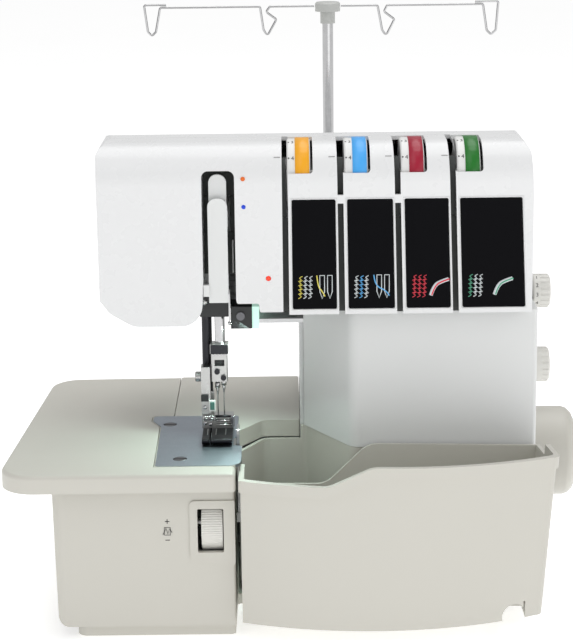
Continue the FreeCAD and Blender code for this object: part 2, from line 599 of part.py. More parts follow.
# ---------------------------------------------------------------- drive
def tangent_loop(big, small, x0, x1):
    """Plate with the outline of a belt round the shaft pulley and the motor pulley."""
    dy, dz = MOTOR_Y - SHAFT_Y, MOTOR_Z - SHAFT_Z
    span = math.hypot(dy, dz)
    heading = math.atan2(dz, dy)
    swing = math.acos((big - small) / span)
    corners = []
    for y, z, r, side in ((SHAFT_Y, SHAFT_Z, big, 1), (MOTOR_Y, MOTOR_Z, small, 1),
                          (MOTOR_Y, MOTOR_Z, small, -1), (SHAFT_Y, SHAFT_Z, big, -1)):
        a = heading + side * swing
        corners.append(V(x0, y + r * math.cos(a), z + r * math.sin(a)))
    face = Part.Face(Part.makePolygon(corners + corners[:1]))
    strap = face.extrude(V(x1 - x0, 0, 0))
    return fuse(strap, cyl_x(x0, x1, SHAFT_Y, SHAFT_Z, big), cyl_x(x0, x1, MOTOR_Y, MOTOR_Z, small))


def drive():
    wheel = turned([(144.6, 0), (144.6, WHEEL_R - 0.8), (145.4, WHEEL_R), (170.0, WHEEL_R),
                    (173.2, WHEEL_R - 1.0), (176.0, WHEEL_R - 3.6), (177.8, WHEEL_R - 7.4), (178.6, WHEEL_R - 12),
                    (178.6, 11.6), (182.2, 11.0), (183.4, 9.4), (HALF_WIDTH, 0)], SHAFT_Y, SHAFT_Z)
    room = cut(cyl_x(140, 168, SHAFT_Y, SHAFT_Z, WHEEL_R - 3), cyl_x(140, 168, SHAFT_Y, SHAFT_Z, 9))
    bore = cyl_x(140, 176, SHAFT_Y, SHAFT_Z, SHAFT_R)
    keep("handwheel", cut(wheel, room, bore))
    pulley = turned([(BELT_X0 - 2, 0), (BELT_X0 - 2, PULLEY_BIG + 3), (BELT_X0 - 0.6, PULLEY_BIG + 3),
                     (BELT_X0 - 0.6, PULLEY_BIG), (BELT_X1 + 0.6, PULLEY_BIG), (BELT_X1 + 0.6, PULLEY_BIG + 3),
                     (BELT_X1 + 2, PULLEY_BIG + 3), (BELT_X1 + 2, 0)], SHAFT_Y, SHAFT_Z)
    keep("main_shaft", fuse(cyl_x(-26, 176, SHAFT_Y, SHAFT_Z, SHAFT_R), pulley))
    small = cyl_x(BELT_X0 - 1, BELT_X1 + 1, MOTOR_Y, MOTOR_Z, PULLEY_SMALL)
    keep("motor_pulley", fuse(small, cyl_x(96, BELT_X1 + 1, MOTOR_Y, MOTOR_Z, 3)))
    room = tangent_loop(PULLEY_BIG + GAP, PULLEY_SMALL + GAP, BELT_X0 - 1, BELT_X1 + 1)
    loop = tangent_loop(PULLEY_BIG + GAP + BELT_T, PULLEY_SMALL + GAP + BELT_T, BELT_X0, BELT_X1)
    keep("drive_belt", cut(loop, room))
    can = fuse(cyl_x(58, 112, MOTOR_Y, MOTOR_Z, MOTOR_R), cyl_x(112, 118, MOTOR_Y, MOTOR_Z, 8))
    keep("motor", cut(can, cyl_x(95, 120, MOTOR_Y, MOTOR_Z, 3 + RUN_FIT)))
    bushes = []
    for x in (-24.0, 100.0):
        bush = cyl_x(x, x + 10, SHAFT_Y, SHAFT_Z, 9)
        bushes.append(cut(bush, cyl_x(x, x + 10, SHAFT_Y, SHAFT_Z, SHAFT_R + RUN_FIT)))
    keep("shaft_bearings", *bushes)


def main_frame():
    plate = box(-130, 125, -16, 70, 24, 30)
    left_plate = box(-130, -47, -90, -16, 24, 30)
    legs = [box(x, x + 14, y, y + 14, FLOOR_CLEAR + WALL, 24)
            for x, y in ((-112, -80), (-112, 40), (105, -14), (105, 50))]
    posts = [box(x, x + 10, 3, 27, 30, 88) for x in (-24, 100)]
    saddle = box(66, 104, 38, 70, 30, 42)
    web = box(10, 50, -5, 40, 30, 210)
    beam = cut(box(-112, 125, -5, 45, 205, 276), box(-104, 117, 3, 50, 213, 268))
    nose = [box(-70, -46, -56, -5, base_z, base_z + 8) for base_z in (205, 264)]
    hangers = []
    for i, x in enumerate(DIALS):
        slot = lean(SLOTS[i], DIAL_Z)
        hangers.append(box(slot - 7.5, slot - 4, -68, -5, 268, 280))
    knob_arms = [box(116, 124, -42, -5, 205, 215), box(118, 124, -42, -30, 192.6, 206),
                 box(118, 124, -58, -5, 140, 164), box(50, 124, -5, 6, 140, 164)]
    feed_post = box(-57, -51, -62, -46, 30, 87.7)
    looper_post = box(-70, -45, -24, -18, 30, 72)
    knife_guide = box(-56, -46.5, -76, -64, 30, 44)
    y, z = TAKE_UP_PIVOT
    take_up_post = [box(-44.4, TAKE_UP_POST, y - 7, -5, z - 7, z + 7)]
    body = fuse(plate, left_plate, web, beam, saddle, feed_post, looper_post, knife_guide,
                *(legs + posts + nose + hangers + knob_arms + take_up_post))
    holes = [
        cyl_x(-24, -14, SHAFT_Y, SHAFT_Z, 9),
        cyl_x(100, 110, SHAFT_Y, SHAFT_Z, 9),
        cyl_x(9, 51, SHAFT_Y, SHAFT_Z, SHAFT_R + 1),
        cyl_x(58, 112, MOTOR_Y, MOTOR_Z, MOTOR_R),
        cyl_z(200, 275, NEEDLE_X, NEEDLE_Y, NEEDLE_BAR_R + RUN_FIT),
        cyl_z(200, 275, PRESSER_X, PRESSER_Y, PRESSER_BAR_R + RUN_FIT),
        cyl_x(-44.4, TAKE_UP_POST, y, z, 3),
        cyl_y(30, 46, -85, 206, 0.5),
        cyl_x(117, 125, SIDE_KNOBS[0][0], SIDE_KNOBS[0][1], SPINDLE_R + RUN_FIT),
        cyl_x(117, 125, SIDE_KNOBS[1][0], SIDE_KNOBS[1][1], SPINDLE_R + RUN_FIT),
        cyl_z(30, 44, -50, -70, 3 + RUN_FIT),
    ]
    holes += [cyl_x(-20, 100, DIAL_Y, DIAL_Z, SPINDLE_R)]
    holes += [cyl_y(-24, -18, x, z, 2.5) for x, z in LOOPER_PINS]
    keep("main_frame", cut(body, *holes))


# ---------------------------------------------------------------- sewing mechanism
def needle_drive():
    x, y = NEEDLE_X, NEEDLE_Y
    keep("needle_bar", cyl_z(161, 262, x, y, NEEDLE_BAR_R))
    clamp = prism([(-58.2, -51.4, 1), (-48, -51.4, 1), (-48, -42.6, 1), (-58.2, -42.6, 1)], "xy", 143, 161)
    collar = prism([(-58.8, -52, 1), (-47.4, -52, 1), (-47.4, -42.4, 1), (-58.8, -42.4, 1)], "xy", 161, 167)
    window = box(-56.2, -50, -60, -48.6, 153, 157)
    shank_at = ((-54.6, 136.0), (-50.7, 137.5))
    needles, screws, bores = [], [], []
    for i, (nx, top) in enumerate(shank_at):
        needles.append(turned_z([(0, 97 + i * 1.5), (0.45, 101), (0.45, top - 3), (1.0, top), (1.0, 146), (0, 146)], nx, y))
        bores.append(cyl_z(140, 146, nx, y, 1.0))
        z = (149.6, 145.6)[i]
        screws.append(fuse(cyl_y(-51.4, -48.6, nx, z, 0.9), cyl_y(-53, -51.4, nx, z, 1.7)))
        bores.append(cyl_y(-51.4, -48.6, nx, z, 0.9))
    bar_room = cyl_z(161, 170, x, y, NEEDLE_BAR_R)
    keep("needle_clamp", cut(fuse(clamp, collar), window, bar_room, *bores))
    keep("needles", *needles)
    keep("needle_screws", *screws)


def presser():
    x, y = PRESSER_X, PRESSER_Y
    keep("presser_bar", cyl_z(121, 258, x, y, PRESSER_BAR_R))
    plate = box(-64.8, -59.2, -50.5, -42, 119, 152)
    grip = box(-64.8, -57.2, -42, -34.5, 119, 134)
    head = box(-64.8, -45, -50.5, -36, 112.6, 119)
    bore = cyl_z(121, 160, x, y, PRESSER_BAR_R)
    thread = cyl_x(-65, -59, -46, 145, 1.5)
    keep("presser_foot_holder", cut(fuse(plate, grip, head), bore, thread, box(-57, -48, -48.6, -43.4, 110, 120)))
    keep("foot_thumb_screw", fuse(cyl_x(-64.8, -61, -46, 145, 1.5), turned(
        [(-68.6, 0), (-68.6, 2.6), (-68, 3.2), (-65.2, 3.2), (-64.8, 2.8), (-64.8, 0)], -46, 145)))
    sole = prism([(-78, 113, 1), (-74, BED_TOP + 0.9, 3), (-32, BED_TOP + 0.9, 2), (-32, 112.6, 0), (-66, 112.6, 2)],
                 "yz", -64, -45.4)
    gates = [box(-57.6, -48.6, -49.4, -42.6, 100, 120), box(-59.4, -58.6, -90, -49, 100, 120)]
    keep("presser_foot", cut(sole, *gates))
    hub = cyl_y(64, 70, -85, 206, 6)
    grip = prism([(-88, 209, 3), (-46, 204, 4), (-46, 197, 3), (-88, 202.5, 3)], "xz", 65, 69)
    keep("presser_lever", fuse(hub, grip, cyl_y(45.5, 64, -85, 206, 3)))


def cutting_and_looping():
    shaft = cyl_z(34, 60, -50, -70, 3)
    arm = box(-53, -40.8, -73, -67, 58, 64)
    blade = prism([(-72.5, 58, 0), (-67, 58, 0), (-67, 92, 6), (-58, 98, 2), (-58, 118, 3), (-72.5, 118, 3)],
                  "yz", -42.6, -41)
    keep("upper_knife", fuse(shaft, arm, blade))
    keep("lower_knife", box(-44.8, -43.2, -72, -58, 95, BED_TOP + 0.1))
    loopers = []
    for (x, z), top, tip in zip(LOOPER_PINS, (99, 103), (5, -3.5)):
        add("pivot_pins", cyl_y(-33, -18, x, z, 2.5))
        hub = cyl_y(-32, -26, x, z, 5)
        rod = box(x - 1.6, x + 1.6, -31, -28, z, top)
        hook = prism([(x - 1.6, top - 4, 0), (x + tip, top - 2, 0), (x + tip, top - 1, 0), (x - 1.6, top, 0)]
                     if tip > 0 else
                     [(x + 1.6, top - 4, 0), (x + tip, top - 2, 0), (x + tip, top - 1, 0), (x + 1.6, top, 0)],
                     "xz", -31, -29.4)
        loopers.append(cut(fuse(hub, rod, hook), cyl_y(-40, -20, x, z, 2.5 + RUN_FIT)))
    keep("lower_looper", loopers[0])
    keep("upper_looper", loopers[1])
    carriage = cut(box(-61.5, -46.8, -74, -36.5, 88, 94), box(-58, -48.9, -52, -40, 80, 100))
    rows = []
    for x0, x1 in ((-58.6, -56.2), (-53.4, -51.6)):
        rows.append(box(x0, x1, -69.5, -52.5, 93, BED_TOP - 0.4))
        for k in range(8):
            y = -69.5 + 2.1 * k
            rows.append(prism([(y, BED_TOP - 0.4, 0), (y + 1.9, BED_TOP - 0.4, 0), (y + 0.4, BED_TOP + 0.7, 0)],
                              "yz", x0, x1))
    keep("feed_dogs", fuse(carriage, *rows))


# ---------------------------------------------------------------- thread stand
def thread_stand():
    plan = prism([(-126, 92, 5), (-126, HALF_DEPTH, 22), (150, HALF_DEPTH, 22), (150, 92, 5)], "xy", 12, 24)
    room = prism([(-123, 95, 3), (-123, HALF_DEPTH - 3, 19), (147, HALF_DEPTH - 3, 19), (147, 95, 3)], "xy", 10, 21)
    arms = [box(-20, 8, BODY_BACK, 94, 24.5, 30), box(60, 82, BODY_BACK, 94, 24.5, 30)]
    ribs = [box(-20, 8, 90, 94, 12, 30), box(60, 82, 90, 94, 12, 30)]
    boss = cyl_z(12, 44, POLE_X, POLE_Y, 10)
    body = fuse(cut(plan, room), boss, *(arms + ribs))
    holes = [cyl_z(14, 50, POLE_X, POLE_Y, TUBE_R)]
    holes += [cyl_z(10, 30, x, PIN_Y, PIN_ROOT_R) for x in HOOKS]
    keep("spool_stand", cut(body, *holes))
    pins, cones = [], []
    for x in HOOKS:
        pins.append(turned_z([(0, 20), (PIN_ROOT_R, 20), (PIN_ROOT_R, 58), (PIN_R, 58), (PIN_R, 82), (PIN_R - 1, 84),
                              (0, 84)], x, PIN_Y))
        cone = turned_z([(PIN_ROOT_R, 24), (15, 24), (15, 26.5), (9, 30), (5, 58), (PIN_ROOT_R, 58)], x, PIN_Y)
        cones.append(cone)
    keep("spool_pins", *pins)
    keep("cone_holders", *cones)
    tube = cyl_z(14, TUBE_TOP, POLE_X, POLE_Y, TUBE_R)
    keep("pole_tube", cut(tube, cyl_z(16, 300, POLE_X, POLE_Y, ROD_R + RUN_FIT)))
    keep("pole_rod", cyl_z(130, 356, POLE_X, POLE_Y, ROD_R))


def thread_guide():
    low, top = 361.0, GUIDE_TOP - WIRE_R
    left = [
        (10.4, low), (-19.6, low), (-22.3, 357.4), (-15.3, 352.2), (-21.6, 341.2), (-24.2, 345.3), (-26.4, low),
        (-94.0, low), (-97.2, 344.8), (-100, 342.0), (-102.7, 344.9), (-104.9, top), (-89.9, top),
    ]
    right = [
        (28.4, low), (53.2, low), (56.3, 344.3), (59, 340.4), (64.7, 351.4), (57.6, 356.7), (59.8, low),
        (124.6, low), (127.3, 343.4), (130.3, 340.4), (133.5, 343.3), (135, top), (119.2, top),
    ]
    wires = [bent_rod([(x, POLE_Y, z) for x, z in route], WIRE_R, 1.4) for route in (left, right)]
    cap = turned_z([(0, CAP_BOTTOM), (5, CAP_BOTTOM), (5, 357.3), (8.5, 357.5), (8.5, GUIDE_TOP - 1),
                    (7.5, GUIDE_TOP), (0, GUIDE_TOP)], POLE_X, POLE_Y)
    bore = cyl_z(340, 356.3, POLE_X, POLE_Y, ROD_R + RUN_FIT)
    keep("guide_cap", cut(cap, bore, *wires))
    keep("thread_guide_wires", *wires)


# ---------------------------------------------------------------- assembly
def build():
    base()
    left_bed_cover()
    bed_casing()
    needle_plate()
    extension_table()
    looper_cover()
    column_front_cover()
    outer = head_block(0)
    inner = head_block(WALL)
    head_panels(outer, inner)
    rear_cover(outer, inner)
    lamp()
    take_up()
    tensions()
    controls()
    waste_tray()
    drive()
    main_frame()
    needle_drive()
    presser()
    cutting_and_looping()
    thread_stand()
    thread_guide()


build()
os.makedirs("parts", exist_ok=True)
for part_name, solids in PARTS.items():
    shape = solids[0] if len(solids) == 1 else Part.makeCompound(solids)
    shape.exportStep("parts/%s.step" % part_name)
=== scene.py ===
import json
import math

import bmesh
import bpy
from mathutils import Matrix, Vector


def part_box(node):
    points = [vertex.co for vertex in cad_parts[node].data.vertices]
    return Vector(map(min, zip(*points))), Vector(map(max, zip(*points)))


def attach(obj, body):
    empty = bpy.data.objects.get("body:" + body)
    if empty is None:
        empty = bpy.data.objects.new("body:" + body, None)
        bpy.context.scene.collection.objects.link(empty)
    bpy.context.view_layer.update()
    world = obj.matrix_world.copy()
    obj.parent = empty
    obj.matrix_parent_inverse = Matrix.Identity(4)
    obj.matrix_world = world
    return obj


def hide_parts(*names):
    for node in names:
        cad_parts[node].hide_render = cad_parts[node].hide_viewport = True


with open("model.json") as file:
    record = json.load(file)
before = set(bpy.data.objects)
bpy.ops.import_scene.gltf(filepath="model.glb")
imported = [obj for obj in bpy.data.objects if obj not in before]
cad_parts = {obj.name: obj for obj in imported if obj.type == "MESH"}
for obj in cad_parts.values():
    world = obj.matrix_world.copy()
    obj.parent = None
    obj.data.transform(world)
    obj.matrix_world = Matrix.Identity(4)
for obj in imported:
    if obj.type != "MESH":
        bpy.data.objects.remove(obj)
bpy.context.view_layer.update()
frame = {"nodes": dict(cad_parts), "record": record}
NODES = frame["nodes"]

# ---------------------------------------------------------------- driving sizes, metres
MM = 0.001
FACE_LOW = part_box("face_cover")[0]
HEAD_Y = FACE_LOW.y                       # front face of the head
BLOCK_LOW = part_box("left_bed_cover")[0]
DIAL_NAMES = ["tension_dial_%d" % (i + 1) for i in range(4)]


# ---------------------------------------------------------------- materials
class Nodes:
    """Small helper that builds one node material."""

    def __init__(self, name):
        self.material = bpy.data.materials.new(name)
        self.material.use_nodes = True
        self.tree = self.material.node_tree
        self.shader = self.tree.nodes["Principled BSDF"]
        coords = self.tree.nodes.new("ShaderNodeTexCoord")
        self.place = coords.outputs["Object"]

    def add(self, kind, **inputs):
        node = self.tree.nodes.new(kind)
        for key, value in inputs.items():
            self.put(node, key.replace("_", " "), value)
        return node

    def put(self, node, key, value):
        socket = node.inputs[key]
        if isinstance(value, bpy.types.NodeSocket):
            self.tree.links.new(value, socket)
        else:
            socket.default_value = value

    def noise(self, scale, detail=3.0, stretch=None):
        source = self.place
        if stretch:
            mapping = self.add("ShaderNodeMapping", Scale=stretch)
            self.tree.links.new(self.place, mapping.inputs["Vector"])
            source = mapping.outputs["Vector"]
        node = self.add("ShaderNodeTexNoise", Scale=scale, Detail=detail)
        self.tree.links.new(source, node.inputs["Vector"])
        return node.outputs["Fac"]

    def ramp(self, value, low, high):
        node = self.add("ShaderNodeMapRange", Value=value)
        node.inputs["To Min"].default_value = low
        node.inputs["To Max"].default_value = high
        return node.outputs["Result"]

    def mix(self, factor, a, b):
        node = self.tree.nodes.new("ShaderNodeMix")
        node.data_type = "RGBA"
        self.put(node, "Factor", factor)
        node.inputs[6].default_value = (*a, 1)
        node.inputs[7].default_value = (*b, 1)
        return node.outputs[2]

    def bump(self, height, strength, distance):
        node = self.add("ShaderNodeBump", Height=height, Strength=strength, Distance=distance)
        self.tree.links.new(node.outputs["Normal"], self.shader.inputs["Normal"])

    def set(self, **inputs):
        for key, value in inputs.items():
            self.put(self.shader, key.replace("_", " "), value)


def shade(colour, factor):
    return tuple(min(1.0, c * factor) for c in colour)


def plastic(name, colour, rough, grain=1400.0, depth=0.00003, strength=0.25):
    """Moulded plastic: spark-eroded grain, slight flow mottling and uneven gloss."""
    n = Nodes(name)
    n.set(Base_Color=n.mix(n.ramp(n.noise(26, 4), 0, 1), shade(colour, 0.985), colour))
    n.set(Roughness=n.ramp(n.noise(60, 5), rough - 0.05, rough + 0.06))
    n.bump(n.noise(grain, 2), strength, depth)
    return n.material


def metal(name, colour, rough, stretch=None, scale=500.0, strength=0.2):
    """Bare metal with fine machining or brushing marks along one direction."""
    n = Nodes(name)
    marks = n.noise(scale, 4, stretch)
    n.set(Metallic=1.0, Base_Color=n.mix(marks, shade(colour, 0.82), colour))
    n.set(Roughness=n.ramp(n.noise(140, 4), rough - 0.06, rough + 0.1))
    n.bump(marks, strength, 0.00003)
    return n.material


def glossy_print(name, colour):
    """Printed film: glossy, with faint handling marks."""
    n = Nodes(name)
    n.set(Base_Color=n.mix(n.ramp(n.noise(90, 3), 0, 0.6), colour, shade(colour, 1.25)))
    n.set(Roughness=n.ramp(n.noise(45, 6), 0.18, 0.3), Specular_IOR_Level=0.03)
    n.bump(n.noise(300, 2), 0.05, 0.00002)
    return n.material


def ink(name, colour, rough=0.45):
    n = Nodes(name)
    n.set(Base_Color=n.mix(n.noise(700, 2), shade(colour, 0.9), colour))
    n.set(Roughness=n.ramp(n.noise(300, 2), rough - 0.05, rough + 0.08))
    return n.material


def glowing(name, colour, strength):
    n = Nodes(name)
    n.set(Base_Color=n.mix(n.noise(300, 2), shade(colour, 0.9), colour), Roughness=0.3)
    n.set(Emission_Color=(*colour, 1), Emission_Strength=strength, Coat_Weight=0.5)
    n.bump(n.noise(500, 2), 0.1, 0.00003)
    return n.material


def rubber(name, colour):
    n = Nodes(name)
    n.set(Base_Color=n.mix(n.noise(80, 4), shade(colour, 0.7), shade(colour, 1.2)))
    n.set(Roughness=n.ramp(n.noise(200, 4), 0.6, 0.8))
    n.bump(n.noise(900, 3), 0.4, 0.00006)
    return n.material


WHITE = plastic("head_white", (0.80, 0.805, 0.81), 0.27, 900, 0.00002, 0.12)
PALE = plastic("casing_pale_grey", (0.76, 0.77, 0.765), 0.36)
WARM = plastic("casing_warm_grey", (0.60, 0.585, 0.53), 0.42, 1500, 0.00004, 0.4)
KNOB = plastic("knob_grey", (0.72, 0.71, 0.67), 0.38)
CAP = plastic("cap_grey", (0.50, 0.51, 0.49), 0.35)
DARK = plastic("dark_plastic", (0.02, 0.021, 0.022), 0.45)
# SHADOW: painted shade, a near-black plastic for the plates set behind the slots where their interiors lie in
# shade
SHADOW = plastic("slot_painted_shade", (0.030, 0.034, 0.032), 0.5)
CARD = glossy_print("guide_card_black", (0.004, 0.004, 0.005))
RUBBER = rubber("foot_rubber", (0.03, 0.03, 0.03))
PLATE = metal("plate_steel", (0.42, 0.47, 0.53), 0.36, (8, 1, 8), 320)
STEEL = metal("machined_steel", (0.56, 0.56, 0.55), 0.28, (1, 1, 7), 600)
CHROME = metal("chrome", (0.56, 0.56, 0.565), 0.12, None, 250, 0.03)
BLACKED = metal("blackened_steel", (0.045, 0.045, 0.05), 0.34, (1, 1, 5), 500)
CASTING = metal("cast_aluminium", (0.42, 0.43, 0.43), 0.5, None, 350, 0.5)
# Dark steel for the screws: partly their steel, partly painted shade of the sunk holes they sit in.
SCREW_IN_SHADE = metal("screw_steel_shaded", (0.16, 0.16, 0.17), 0.3, None, 400)
LENS = glowing("lamp_lens", (0.55, 0.85, 0.72), 0.6)
INK = ink("ink_black", (0.015, 0.015, 0.016))
INK_GREY = ink("ink_grey", (0.25, 0.25, 0.25))
BANDS = [
    plastic("band_amber", (0.93, 0.42, 0.01), 0.3),
    plastic("band_blue", (0.07, 0.42, 0.92), 0.3),
    plastic("band_crimson", (0.36, 0.005, 0.03), 0.3),
    plastic("band_green", (0.01, 0.17, 0.015), 0.3),
]
DIAL_WHITE = plastic("dial_white", (0.80, 0.80, 0.79), 0.3)
LINT_GREEN = plastic("clip_green", (0.05, 0.16, 0.13), 0.4)

FINISH = {
    "white_plastic": WHITE, "light_grey_plastic": PALE, "warm_grey_plastic": WARM, "rubber": RUBBER,
    "plate_steel": PLATE, "bright_steel": CHROME, "machined_steel": STEEL, "black_steel": BLACKED,
    "cast_frame": CASTING, "card_black": CARD, "dark_plastic": DARK, "lamp_clear": LENS,
    "belt_rubber": RUBBER, "dial_amber": DIAL_WHITE, "dial_blue": DIAL_WHITE, "dial_red": DIAL_WHITE,
    "dial_green": DIAL_WHITE, "cap_grey": CAP,
}
OWN = {"screws": SCREW_IN_SHADE, "stitch_width_dial": KNOB, "stitch_length_dial": KNOB, "differential_dial": KNOB}
SLOT_OF = {s["node"]: s["material_slot"] for s in frame["record"]["subparts"]}


# ---------------------------------------------------------------- carried-over CAD pieces
EDGE = {
    "face_cover": 1.6, "tension_cover": 0.7, "head_end_panel": 1.6, "rear_cover": 1.4,
    "column_front_cover": 1.6,
    "left_bed_cover": 1.0, "bed_casing": 0.9, "extension_table": 0.5, "waste_tray": 0.9, "looper_cover": 0.8,
    "needle_plate": 0.25, "base_pan": 0.8, "spool_stand": 1.0, "lamp_bracket": 0.5, "take_up_guard": 0.6,
    "needle_clamp": 0.35, "presser_foot_holder": 0.35, "presser_foot": 0.3, "take_up_lever": 0.6,
}


def finish_cad():
    """Material for every CAD node, and moulded edge radii where they show."""
    for name, obj in NODES.items():
        obj.data.materials.clear()
        obj.data.materials.append(OWN.get(name) or FINISH[SLOT_OF[name]])
        weld = obj.modifiers.new("weld", "WELD")
        weld.merge_threshold = 0.00001
        width = EDGE.get(name, 0.2) * MM
        soft = obj.modifiers.new("edges", "BEVEL")
        soft.width = width
        soft.segments = 3
        soft.limit_method = "ANGLE"
        soft.angle_limit = math.radians(32)
        soft.use_clamp_overlap = True
        for face in obj.data.polygons:
            face.use_smooth = True
        normals = obj.modifiers.new("normals", "WEIGHTED_NORMAL")
        normals.keep_sharp = True


# ---------------------------------------------------------------- mesh helpers
def piece(name, mesh, material, body="machine", smooth=True):
    """Turns a bmesh into a finished piece that rides on a body."""
    data = bpy.data.meshes.new(name)
    mesh.normal_update()
    mesh.to_mesh(data)
    mesh.free()
    data.materials.append(material)
    if smooth:
        for face in data.polygons:
            face.use_smooth = True
    obj = bpy.data.objects.new(name, data)
    bpy.context.collection.objects.link(obj)
    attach(obj, body)
    return obj


def soften(obj, width, segments=3, angle=35):
    soft = obj.modifiers.new("edges", "BEVEL")
    soft.width = width
    soft.segments = segments
    soft.limit_method = "ANGLE"
    soft.angle_limit = math.radians(angle)
    normals = obj.modifiers.new("normals", "WEIGHTED_NORMAL")
    normals.keep_sharp = True
    return obj


def rounded_outline(x0, x1, z0, z1, r, steps=6):
    """Points of a rounded rectangle, counter-clockwise."""
    points = []
    corners = ((x1 - r, z1 - r, 0), (x0 + r, z1 - r, 90), (x0 + r, z0 + r, 180), (x1 - r, z0 + r, 270))
    for cx, cz, start in corners:
        for i in range(steps + 1):
            a = math.radians(start + 90 * i / steps)
            points.append((cx + r * math.cos(a), cz + r * math.sin(a)))
    return points


def slab_mesh(outline, y0, y1):
    """Plate with the (x, z) outline, from y0 to y1."""
    mesh = bmesh.new()
    front = [mesh.verts.new((x, y0, z)) for x, z in outline]
    back = [mesh.verts.new((x, y1, z)) for x, z in outline]
    mesh.faces.new(front)
    mesh.faces.new(list(reversed(back)))
    count = len(outline)
    for i in range(count):
        j = (i + 1) % count
        mesh.faces.new((front[j], front[i], back[i], back[j]))
    bmesh.ops.recalc_face_normals(mesh, faces=mesh.faces)
    return mesh


def lathe_mesh(profile, origin, axis="x", steps=64):
    """Solid of revolution; the profile is (distance along the axis, radius) pairs."""
    mesh = bmesh.new()
    rings = []
    for along, radius in profile:
        ring = []
        for i in range(steps):
            a = 2 * math.pi * i / steps
            c, s = radius * math.cos(a), radius * math.sin(a)
            offset = {"x": (along, c, s), "y": (c, along, s), "z": (c, s, along)}[axis]
            ring.append(mesh.verts.new(Vector(origin) + Vector(offset)))
        rings.append(ring)
    for a, b in zip(rings, rings[1:]):
        for i in range(steps):
            j = (i + 1) % steps
            mesh.faces.new((a[i], a[j], b[j], b[i]))
    mesh.faces.new(rings[0])
    mesh.faces.new(rings[-1])
    bmesh.ops.remove_doubles(mesh, verts=mesh.verts, dist=1e-7)
    bmesh.ops.recalc_face_normals(mesh, faces=mesh.faces)
    return mesh


def stroke(name, points, radius, material, body="machine", smooth=True, closed=False):
    """Round line through the points."""
    curve = bpy.data.curves.new(name, "CURVE")
    curve.dimensions = "3D"
    curve.bevel_depth = radius
    curve.bevel_resolution = 3
    curve.use_fill_caps = True
    line = curve.splines.new("NURBS" if smooth else "POLY")
    line.points.add(len(points) - 1)
    for target, p in zip(line.points, points):
        target.co = (*p, 1)
    if smooth:
        line.order_u = 3
        line.use_endpoint_u = not closed
    line.use_cyclic_u = closed
    line.resolution_u = 8
    curve.materials.append(material)
    obj = bpy.data.objects.new(name, curve)
    bpy.context.collection.objects.link(obj)
    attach(obj, body)
    return obj


def digits(name, text, size, where, material, body="machine", turn=None):
    """Printed numbers, standing in the plane that turn gives (default: facing the front)."""
    curve = bpy.data.curves.new(name, "FONT")
    curve.body = text
    curve.size = size
    curve.extrude = 0.00004
    curve.align_x = "CENTER"
    curve.align_y = "CENTER"
    curve.materials.append(material)
    obj = bpy.data.objects.new(name, curve)
    bpy.context.collection.objects.link(obj)
    obj.matrix_world = Matrix.Translation(where) @ (turn or Matrix.Rotation(math.pi / 2, 4, "X"))
    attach(obj, body)
    return obj


# ---------------------------------------------------------------- tension dials
def tension_dial(index, node):
    """White drum with a coloured grip band, a printed scale and a thin rim at its right."""
    low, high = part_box(node)
    centre = (low + high) / 2
    radius = (high.z - low.z) / 2
    half = (high.x - low.x) / 2
    origin = (centre.x, centre.y, centre.z)
    core = radius - 0.0006
    white = lathe_mesh(
        [(-half, 0.006), (-half, core - 0.0009), (-half + 0.0009, core), (half - 0.001, core),
         (half, core - 0.0009), (half, 0.006)], origin, steps=96)
    drum = piece(node + "_drum", white, DIAL_WHITE, node)
    soften(drum, 0.0003)
    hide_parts(node)
    start, end = -half + 0.0049, half - 0.0006
    band = bmesh.new()
    rings = []
    count = 144
    for along, swell in ((start, -0.0005), (start + 0.0002, 0.0), (end - 0.0003, 0.0), (end, -0.0005)):
        ring = []
        for i in range(count):
            a = 2 * math.pi * i / count
            r = radius + swell - (0.0 if i % 4 else 0.00008)
            point = (centre.x + along, centre.y + r * math.cos(a), centre.z + r * math.sin(a))
            ring.append(band.verts.new(point))
        rings.append(ring)
    for a, b in zip(rings, rings[1:]):
        for i in range(count):
            j = (i + 1) % count
            band.faces.new((a[i], a[j], b[j], b[i]))
    bmesh.ops.recalc_face_normals(band, faces=band.faces)
    piece(node + "_band", band, BANDS[index], node)
    for step in range(10):
        angle = math.radians(145 + 36 * (step - 4))
        turn = Matrix.Rotation(angle - math.pi / 2, 4, "X")
        out = Vector((0, math.cos(angle), math.sin(angle))) * (core + 0.00002)
        spot = Vector((centre.x - half, centre.y, centre.z)) + out
        place = spot + Vector((0.0035, 0, 0))
        digits("%s_number_%d" % (node, step), str(step), 0.0036, place, INK, node, turn)
        digits("%s_dot_%d" % (node, step), "•", 0.0040, spot + Vector((0.0012, 0, 0)), INK, node, turn)


# ---------------------------------------------------------------- head front
def head_prints():
    for i, (x, z, material) in enumerate(((-0.0359, 0.2764, DOT_ORANGE), (-0.0357, 0.2596, DOT_BLUE))):
        disc = [(0.0, 0.0), (0.0, 0.0013), (0.0003, 0.0013), (0.0003, 0.0)]
        mesh = lathe_mesh(disc, (x, HEAD_Y - 0.0001, z), "y", 32)
        piece("thread_dot_%d" % (i + 1), mesh, material)
    lamp = lathe_mesh([(0.0, 0.0), (0.0002, 0.0007), (0.0009, 0.0013), (0.004, 0.00135), (0.004, 0.0)],
                      (-0.0215, HEAD_Y - 0.0009, 0.216), "y", 32)
    piece("ready_light", lamp, LED)
    for i, name in enumerate(DIAL_NAMES):
        low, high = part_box(name)
        x = low.x - (0.0074 if i else 0.0058)
        outline = rounded_outline(x - 0.0019, x + 0.0019, 0.28795, 0.28835, 0.00018)
        mesh = slab_mesh(outline, HEAD_Y + 0.0059, HEAD_Y + 0.0064)
        piece("dial_index_%d" % (i + 1), mesh, INK_GREY)


